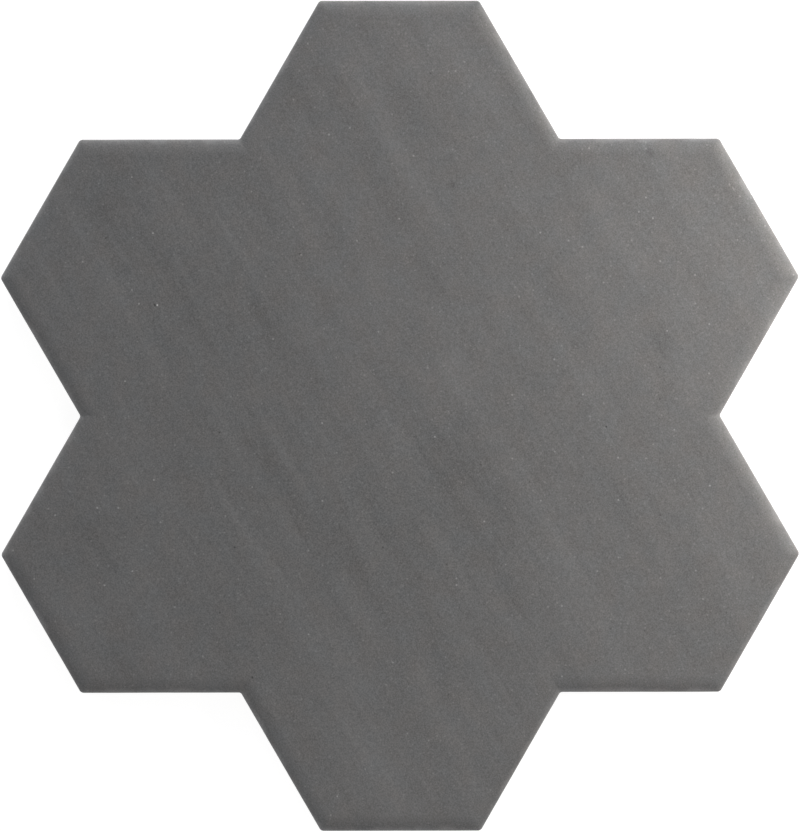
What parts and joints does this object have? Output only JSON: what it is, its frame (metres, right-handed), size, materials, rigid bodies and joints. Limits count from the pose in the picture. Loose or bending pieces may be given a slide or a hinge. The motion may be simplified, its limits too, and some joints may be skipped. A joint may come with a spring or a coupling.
{
  "type": "porcelain floor tile",
  "caption": "Flower-shaped floor tile with hexagonal lobes that nest with its neighbours, a flat matt face, a cushioned edge and a honeycomb keyed back for adhesive.",
  "frame": {"origin": "middle of the bed, the keyed back that the tile lies on", "axes": "+Z out of the face, +Y through the middle of one lobe's end, +X through the notch between two lobes"},
  "size_m": [0.2496, 0.2598, 0.009],
  "materials": {
    "grey_matt_glaze": "matte"
  },
  "bodies": {
    "root": {"porcelain_tile": "grey_matt_glaze"}
  },
  "joints": []
}
